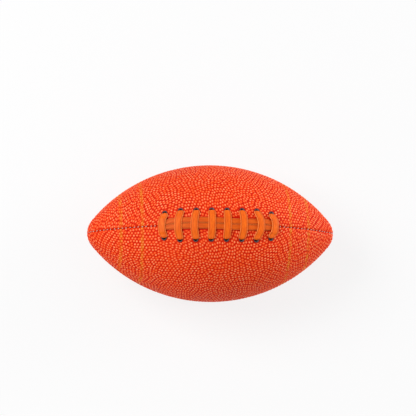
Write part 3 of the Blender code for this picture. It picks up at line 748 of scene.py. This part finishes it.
valve_at = standing_on(0.0, VALVE_ANGLE)
stem_outline = rounded_top(STEM_BORE, STEM_RADIUS, STEM_SHOULDER) + [(STEM_RADIUS, STEM_FOOT)]
stem_outline += [(VALVE_FLANGE_RADIUS, height) for height in VALVE_FLANGE_HEIGHTS] + [(STEM_BORE, STEM_END)]
plug_outline = rounded_top(PLUG_BORE, PLUG_RADIUS, PLUG_SHOULDER)
plug_outline += [(PLUG_RADIUS, PLUG_FOOT), (PLUG_BORE, PLUG_FOOT)]
for name, node_name, outline, sides in (
    ("valve_stem", "valve_body", stem_outline, 48),
    ("valve_plug", "valve_core", plug_outline, 40),
):
    part = turned(name, outline[::-1], sides, valve_at, moulded)
    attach(part, "root")
    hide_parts(node_name)


# Lace facings and bladder guard
# Two strips of dark red cloth back the cover where the eyelets are clenched, and a loose rubber flap
# under the lace keeps lace and eyelets off the bladder.

# Cotton twill, dyed dark red: fine slanted ribs, quite matt.
twill, tree = new_material("cotton_twill_dyed")
here = add(tree, "ShaderNodeTexCoord", {}).outputs["Object"]
rib = add(
    tree, "ShaderNodeTexWave", {"Vector": here, "Scale": 0.5 / YARN, "Distortion": 0.4},
    bands_direction="DIAGONAL",
).outputs["Fac"]
cloth = add(tree, "ShaderNodeMix", {0: rib, 6: linear("#4d130c"), 7: linear("#8a2618")}, data_type="RGBA")
bump = add(tree, "ShaderNodeBump", {"Height": rib, "Strength": 0.4, "Distance": 0.0002})
shader = add(tree, "ShaderNodeBsdfPrincipled", {
    "Base Color": cloth, "Normal": bump, "Roughness": 0.85, "Sheen Weight": 0.2,
})
add(tree, "ShaderNodeOutputMaterial", {"Surface": shader})

dress("lace_facing_back", twill)
dress("lace_facing_front", twill)
dress("bladder_guard", moulded)


# Eyelets
# Sixteen brass eyelets with a black lacquer, pushed through cover, lining and facing and clenched on
# the inside. The rolled flange shows as a dark half-moon beyond each end of a crossing.
EYELET_BORE = 0.0020
EYELET_WALL_RADIUS = 0.00245
EYELET_LIP_RADIUS = 0.00285
EYELET_BOTTOM = 0.00635
EYELET_SIDES = 48
CLINCH_TOP = 0.00585
LIP_TOP = 0.0008
LIP_UNDERSIDE = 0.0001
ROLLED = 0.00032
MOUTH = 0.00055
BORE_LIGHT_REACH = 0.0002

# Brass under black lacquer: a dark grey skin, rubbed paler in patches. Inside the bore the colour is
# painted paler grey, painted light that lifts the shaded hole where the lace goes through.
RUB = 0.0012
lacquer, tree = new_material("brass_black_lacquered")
here = add(tree, "ShaderNodeTexCoord", {}).outputs["Object"]
scuff = add(tree, "ShaderNodeTexNoise", {"Vector": here, "Scale": 1 / RUB, "Detail": 3.0})
wear = add(tree, "ShaderNodeMapRange", {"Value": scuff, "From Min": 0.45, "From Max": 0.75})
metal = add(tree, "ShaderNodeMix", {0: wear, 6: linear("#2c2529"), 7: linear("#5e565c")}, data_type="RGBA")
# Painted light: the bore is painted paler grey where the hole lies in shade.
painted_bore_light = add(tree, "ShaderNodeAttribute", {}, attribute_name="wear_and_bore_light").outputs["Fac"]
metal = add(tree, "ShaderNodeMix", {0: painted_bore_light, 6: metal, 7: linear("#787074")}, data_type="RGBA")
shader = add(tree, "ShaderNodeBsdfPrincipled", {
    "Base Color": metal, "Roughness": 0.42, "Specular IOR Level": 0.25,
})
add(tree, "ShaderNodeOutputMaterial", {"Surface": shader})

flange = [(EYELET_BORE, -EYELET_BOTTOM)]
flange += rounded_corner((EYELET_BORE + MOUTH, LIP_TOP - MOUTH), MOUTH, 180, 90, 7)
flange += rounded_corner((EYELET_LIP_RADIUS - ROLLED, LIP_TOP - ROLLED), ROLLED, 90, -20, 8)
flange += [(EYELET_LIP_RADIUS - 0.0001, LIP_UNDERSIDE), (EYELET_WALL_RADIUS, LIP_UNDERSIDE)]
flange += [(EYELET_WALL_RADIUS, -CLINCH_TOP), (EYELET_LIP_RADIUS, -CLINCH_TOP)]
flange += [(EYELET_LIP_RADIUS, -EYELET_BOTTOM)]
# Points inside the bore take the painted light.
in_bore = [radius < EYELET_BORE + BORE_LIGHT_REACH for radius, height_there in flange[::-1]]
for side_name, side in (("back", 1), ("front", -1)):
    for i in range(CROSSINGS):
        name = f"{side_name}_{i + 1}"
        eyelet = turned("flange_" + name, flange[::-1], EYELET_SIDES, hole_placement(i, side), lacquer)
        store(eyelet, "wear_and_bore_light", "FLOAT", np.tile(in_bore, EYELET_SIDES))
        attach(eyelet, "root")
        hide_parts("eyelet_" + name)


# Lace
# Flat straps cut from orange tanned leather. Two lie side by side along the seam; the third crosses over
# them eight times, in at an eyelet, across the inside and up again at the next.
LACE_FOOT_WIDTH = 0.0074
LACE_WIDTH_IN_HOLE = 0.0031
LACE_OFF_CENTRE = 0.0005
LACE_THICKNESS = 0.0013
LACE_BEND = 0.0015
LACE_TAIL = 0.0100
STRAND_TUCK_WIDTH = 0.0040
STRAND_TAPER = 0.0070
STRAND_SWAY = 0.0008
STRAND_SWAY_LENGTH = 0.1070
OVER_EYELET_HEIGHT = 0.00175
OVER_STRAND_HEIGHT = 0.00255
STRAND_HEIGHT = 0.00095
INNER_RUN_DEPTH = 0.0073
TUCK_DEPTHS = (0.00635, 0.0030)
WIDENING_TURNS = (0.2, 1.1)
CREASE_PLACE = 0.76
CREASE_SPREAD = 0.08
CREASE_DEPTH = 0.00018
STRAP_SIDES = 40
EDGE_ROUNDNESS = 0.5
# How much darker the strands are coloured than the crossing strap.
STRAND_DARKENING = 0.3

# Vegetable tanned strap leather, dyed orange: fine lengthwise grain, a crease pressed along both edges
# and painted dark there as painted shade, and paler rims beyond it painted as painted highlights. The
# strands are coloured darker.
GRAIN_LINE = 0.0008
MOTTLE = 0.012
tanned, tree = new_material("strap_leather_tanned")
on_strap = add(tree, "ShaderNodeAttribute", {}, attribute_name="strap").outputs["Vector"]
drawn_out = add(tree, "ShaderNodeMapping", {"Vector": on_strap, "Scale": (0.09, 1.0, 1.0)})
lines = add(tree, "ShaderNodeTexNoise", {
    "Vector": drawn_out, "Scale": 1 / GRAIN_LINE, "Detail": 3.0, "Roughness": 0.6,
})
patches = add(tree, "ShaderNodeTexNoise", {"Vector": on_strap, "Scale": 1 / MOTTLE, "Detail": 2.0})
fibre = add(tree, "ShaderNodeMapRange", {"Value": lines, "From Min": 0.3, "From Max": 0.7})
orange = add(tree, "ShaderNodeMix", {
    0: fibre, 6: linear("#d64c06"), 7: linear("#ff7614"),
}, data_type="RGBA")
mottle = add(tree, "ShaderNodeMapRange", {
    "Value": patches, "From Min": 0.4, "From Max": 0.7, "To Max": 0.4,
})
orange = add(tree, "ShaderNodeMix", {0: mottle, 6: orange, 7: linear("#f0620c")}, data_type="RGBA")
outward_share = add(tree, "ShaderNodeAttribute", {}, attribute_name="outward_share").outputs["Fac"]
# Painted highlight: the outer rims of the strap are painted paler.
painted_rim_highlight = add(tree, "ShaderNodeMapRange", {
    "Value": outward_share, "From Min": 0.85, "From Max": 0.94, "To Max": 0.8,
})
# Painted shade: the crease is painted darker.
from_crease = add(tree, "ShaderNodeMath", {0: outward_share, 1: CREASE_PLACE}, operation="SUBTRACT")
from_crease = add(tree, "ShaderNodeMath", {0: from_crease}, operation="ABSOLUTE")
crease = add(tree, "ShaderNodeMapRange", {
    "Value": from_crease, "From Min": 0.03, "From Max": 0.14, "To Min": 0.75, "To Max": 0.0,
})
orange = add(tree, "ShaderNodeMix", {0: crease, 6: orange, 7: linear("#b03804")}, data_type="RGBA")
edged = add(tree, "ShaderNodeMix", {0: painted_rim_highlight, 6: orange, 7: linear("#ff9448")}, data_type="RGBA")
# The strands are coloured darker than the crossing strap.
darker_strands = add(tree, "ShaderNodeAttribute", {}, attribute_name="darkening").outputs["Fac"]
edged = add(tree, "ShaderNodeMix", {0: darker_strands, 6: edged, 7: linear("#a83200")}, data_type="RGBA")
gloss = add(tree, "ShaderNodeMapRange", {"Value": fibre, "To Min": 0.58, "To Max": 0.44})
bump = add(tree, "ShaderNodeBump", {"Height": lines, "Strength": 0.45, "Distance": 0.0003})
shader = add(tree, "ShaderNodeBsdfPrincipled", {
    "Base Color": edged, "Roughness": gloss, "Normal": bump, "Specular IOR Level": 0.15,
})
add(tree, "ShaderNodeOutputMaterial", {"Surface": shader})


def lace_spot(x, y, height, width):
    """Point of a lace, the way its width lies, and its width."""
    tilt = tilt_at(x)
    angle = asin(y / float(profile(tilt)[1]))
    across = np.array((0, cos(angle), -sin(angle)))
    return place(tilt, angle, -height), np.cross(across, outward(tilt, angle)), width


def strand_share(x):
    """How far a strand has narrowed towards the nearer tuck."""
    room = min(x - tuck_x(-1), tuck_x(1) - x) - LACE_BEND
    return 1 - min(1.0, max(0.0, room / STRAND_TAPER))


def strands_at(x):
    """The line between the strands: it lies a little to the back of the seam, and sways."""
    sway = STRAND_SWAY * sin(2 * pi * x / STRAND_SWAY_LENGTH)
    return (STRAND_OFF_SEAM - sway) * (1 - strand_share(x))


def crossing_height(y, spread, middle):
    """The lace climbs from the eyelets over the two strands, whose middle line it crosses there."""
    flat = STRAND_WIDTH + 2 * GAP
    foot = spread - 2 * LACE_BEND - np.copysign(middle, y)
    share = eased(abs(y - middle), flat, foot)
    return OVER_STRAND_HEIGHT + (OVER_EYELET_HEIGHT - OVER_STRAND_HEIGHT) * share


def lace_y(i):
    """The lace bears on the side of the eyelet that is nearer the seam."""
    return hole_y(i) - LACE_OFF_CENTRE


def crossing_spots(i):
    """Outer run from the back hole to the front hole."""
    spread = lace_y(i)
    foot = spread - LACE_BEND
    strands = strands_at(hole_x(i) + CROSSING_BOWS[i])
    bend = []
    for turn in np.linspace(0, pi / 2, 9)[1:]:
        inset = LACE_BEND * (1 - cos(turn))
        rise = OVER_EYELET_HEIGHT - LACE_BEND * (1 - sin(turn))
        spread_out = float(eased(turn, *WIDENING_TURNS))
        width = LACE_WIDTH_IN_HOLE + (LACE_FOOT_WIDTH - LACE_WIDTH_IN_HOLE) * spread_out
        bend.append((spread - inset, rise, width))
    middle = []
    for y in np.linspace(foot, -foot, 41)[1:-1]:
        width = LACE_WIDTH - (LACE_WIDTH - LACE_FOOT_WIDTH) * abs(y / foot) ** 6
        middle.append((y, float(crossing_height(y, spread, strands)), width))
    mirrored = [(-y, rise, width) for y, rise, width in reversed(bend)]
    spots = []
    for y, rise, width in bend + middle + mirrored:
        x = hole_x(i, y / spread) + CROSSING_BOWS[i] * (1 - min(1.0, abs(y) / foot) ** 2)
        spots.append(lace_spot(x, y, rise, width))
    return spots


def through_hole(i, side, down):
    """The lace inside an eyelet."""
    rises = np.linspace(OVER_EYELET_HEIGHT - LACE_BEND, LACE_BEND - INNER_RUN_DEPTH, 9)
    if not down:
        rises = rises[::-1]
    return [lace_spot(hole_x(i, side), side * lace_y(i), h, LACE_WIDTH_IN_HOLE) for h in rises]


def inner_bend(corner, way, leaving):
    """The lace turns from a hole into its run on the inside, or back."""
    turns = np.linspace(0, pi / 2, 5)[1:]
    bend = []
    for turn in turns if leaving else turns[::-1]:
        inset = LACE_BEND * (1 - cos(turn)) * (1 if leaving else -1)
        rise = LACE_BEND * (1 - sin(turn)) - INNER_RUN_DEPTH
        bend.append(lace_spot(*(corner + inset * way), rise, LACE_WIDTH_IN_HOLE))
    return bend


def inner_run(i):
    """Slanted run on the inside, from the front hole of crossing i to the back hole of the next."""
    start = np.array((hole_x(i, -1), -lace_y(max(i, 0))))
    end = np.array((hole_x(i + 1, 1), lace_y(min(i + 1, CROSSINGS - 1))))
    way = unit(end - start)
    first_spot = start + way * LACE_BEND
    last_spot = end - way * LACE_BEND
    if i < 0:
        first_spot = last_spot - way * LACE_TAIL
    if i + 1 == CROSSINGS:
        last_spot = first_spot + way * LACE_TAIL
    spots = inner_bend(start, way, True) if i >= 0 else []
    for share in np.linspace(0, 1, 14)[(0 if i < 0 else 1):]:
        spot = first_spot + share * (last_spot - first_spot)
        spots.append(lace_spot(*spot, -INNER_RUN_DEPTH, LACE_WIDTH_IN_HOLE))
    if i + 1 < CROSSINGS:
        spots = spots[:-1] + inner_bend(end, way, False)
    return spots


def strap_outline(widths):
    """Cross section of a strap with eased edges, and how far out across the strap each of its points is."""
    turns = np.linspace(0, 2 * pi, STRAP_SIDES + 1)[:-1]
    flat = np.sign(np.cos(turns)) * np.abs(np.cos(turns)) ** EDGE_ROUNDNESS
    crown = np.sign(np.sin(turns)) * np.abs(np.sin(turns)) ** EDGE_ROUNDNESS
    from_crease = (np.abs(flat) - CREASE_PLACE) / CREASE_SPREAD
    crease = CREASE_DEPTH * np.exp(-(from_crease**2)) * (crown > 0)
    sideways = np.asarray(widths)[:, None] / 2 * flat
    upward = LACE_THICKNESS / 2 * crown - crease + 0 * sideways
    return np.stack((sideways, upward), -1), np.abs(flat) + 0 * sideways


def make_strap(name, spots, node_name, darkening):
    path, across, widths = zip(*spots)
    outline, outward_shares = strap_outline(widths)
    points, faces, strap = swept(path, across, outline)
    made = new_object(name, points, faces, tanned)
    store(made, "strap", "FLOAT_VECTOR", strap)
    store(made, "outward_share", "FLOAT", outward_shares)
    store(made, "darkening", "FLOAT", np.full(outward_shares.size, darkening))
    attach(made, "root")
    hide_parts(node_name)


path = inner_run(-1)
for i in range(CROSSINGS):
    path += through_hole(i, 1, False) + crossing_spots(i) + through_hole(i, -1, True) + inner_run(i)
make_strap("crossing_strap", path, "lace_crossing", 0.0)


def strand_spot(x, rise, side):
    width = STRAND_WIDTH + (STRAND_TUCK_WIDTH - STRAND_WIDTH) * strand_share(x)
    tilt = tilt_at(x)
    radius = float(profile(tilt)[1]) + rise * cos(tilt)
    angle = side * asin((GAP / 2 + width / 2) / radius) + asin(strands_at(x) / radius)
    return place(tilt, angle, -rise), np.array((0, cos(angle), -sin(angle))), width


def strand_end(end, side):
    """End of a strand, from its tip inside the ball to where it lies flat."""
    x = tuck_x(end)
    spots = [strand_spot(x, -depth, side) for depth in np.linspace(*TUCK_DEPTHS, 5)]
    for turn in np.linspace(0, pi / 2, 7):
        inset = LACE_BEND * (1 - cos(turn))
        spots.append(strand_spot(x - end * inset, STRAND_HEIGHT - LACE_BEND * (1 - sin(turn)), side))
    return spots


for side_name, side in (("back", 1), ("front", -1)):
    left = tuck_x(-1) + LACE_BEND
    right = tuck_x(1) - LACE_BEND
    spots = strand_end(-1, side)
    spots += [strand_spot(x, STRAND_HEIGHT, side) for x in np.linspace(left, right, 90)[1:-1]]
    spots += strand_end(1, side)[::-1]
    make_strap("strand_" + side_name, spots, "lace_strand_" + side_name, STRAND_DARKENING)


# Studio
# A pale floor under the ball, a soft box on each side, and an even sky that fills the underside. The
# camera looks down on the lace as the photograph does.
scene = bpy.context.scene
scene.view_settings.view_transform = "Standard"


def seen_by_eye(tree):
    """One for camera, mirror and glass rays, nought for the rays that light things."""
    rays = add(tree, "ShaderNodeLightPath", {})
    either = add(tree, "ShaderNodeMath", {
        0: rays.outputs["Is Camera Ray"], 1: rays.outputs["Is Glossy Ray"],
    }, operation="MAXIMUM")
    through = rays.outputs["Is Transmission Ray"]
    return add(tree, "ShaderNodeMath", {0: either, 1: through}, operation="MAXIMUM")


FLOOR_HALF_SIDE = 12.0
FLOOR_GLOW = 0.8
SKY_LEVEL = 0.51
paper, tree = new_material("paper_floor_white")
matt = add(tree, "ShaderNodeBsdfDiffuse", {"Color": (0.85, 0.85, 0.85, 1.0)})
bare = add(tree, "ShaderNodeEmission", {"Color": (1.0, 1.0, 1.0, 1.0), "Strength": 1.0})
share = add(tree, "ShaderNodeMath", {0: seen_by_eye(tree), 1: FLOOR_GLOW}, operation="MULTIPLY")
both = add(tree, "ShaderNodeMixShader", {0: share, 1: matt, 2: bare})
add(tree, "ShaderNodeOutputMaterial", {"Surface": both})

bm = bmesh.new()
bmesh.ops.create_grid(bm, x_segments=1, y_segments=1, size=FLOOR_HALF_SIDE)
floor_mesh = bpy.data.meshes.new("floor")
bm.to_mesh(floor_mesh)
bm.free()
floor_mesh.materials.append(paper)
floor = bpy.data.objects.new("floor", floor_mesh)
scene.collection.objects.link(floor)

world = bpy.data.worlds.new("even_sky")
world.use_nodes = True
scene.world = world
tree = world.node_tree
tree.nodes.clear()
fill = add(tree, "ShaderNodeBackground", {"Color": (0.96, 0.98, 1.0, 1.0), "Strength": SKY_LEVEL})
white = add(tree, "ShaderNodeBackground", {"Color": (1.0, 1.0, 1.0, 1.0), "Strength": 1.0})
both = add(tree, "ShaderNodeMixShader", {0: seen_by_eye(tree), 1: fill, 2: white})
add(tree, "ShaderNodeOutputWorld", {"Surface": both})

ball_centre = Vector((0, 0, BELLY))
BOX_SIDE = 1.0


def soft_box(name, place_of_lamp, watts):
    lamp = bpy.data.lights.new(name, "AREA")
    lamp.shape = "SQUARE"
    lamp.size = BOX_SIDE
    lamp.energy = watts
    holder = bpy.data.objects.new(name, lamp)
    holder.location = place_of_lamp
    holder.rotation_euler = (ball_centre - Vector(place_of_lamp)).to_track_quat("-Z", "Y").to_euler()
    scene.collection.objects.link(holder)


soft_box("left_box", (-1.2, 0.4, 1.6), 25.0)
soft_box("right_box", (1.9, 0.6, 0.4), 26.0)

CAMERA_DISTANCE = 7.0
PIXEL = 0.0010748
YAW = radians(7.55)
PITCH = radians(7.9)
ROLL = radians(0.70)
FRAME = 416
BALL_PIXEL = (210.25, 233.65)
way = Vector((-sin(YAW), -sin(PITCH), 0))
way.z = sqrt(1 - way.x**2 - way.y**2)
lens = bpy.data.cameras.new("camera")
lens.angle = 2 * np.arctan(FRAME * PIXEL / 2 / CAMERA_DISTANCE)
lens.clip_end = 60
camera = bpy.data.objects.new("camera", lens)
scene.collection.objects.link(camera)
right = Matrix.Rotation(-ROLL, 3, way) @ Vector((0, 1, 0)).cross(way).normalized()
up = way.cross(right)
aim = ball_centre - right * (BALL_PIXEL[0] - FRAME / 2) * PIXEL + up * (BALL_PIXEL[1] - FRAME / 2) * PIXEL
turn = Matrix((right, up, way)).transposed().to_4x4()
camera.matrix_world = Matrix.Translation(aim + way * CAMERA_DISTANCE) @ turn
scene.camera = camera
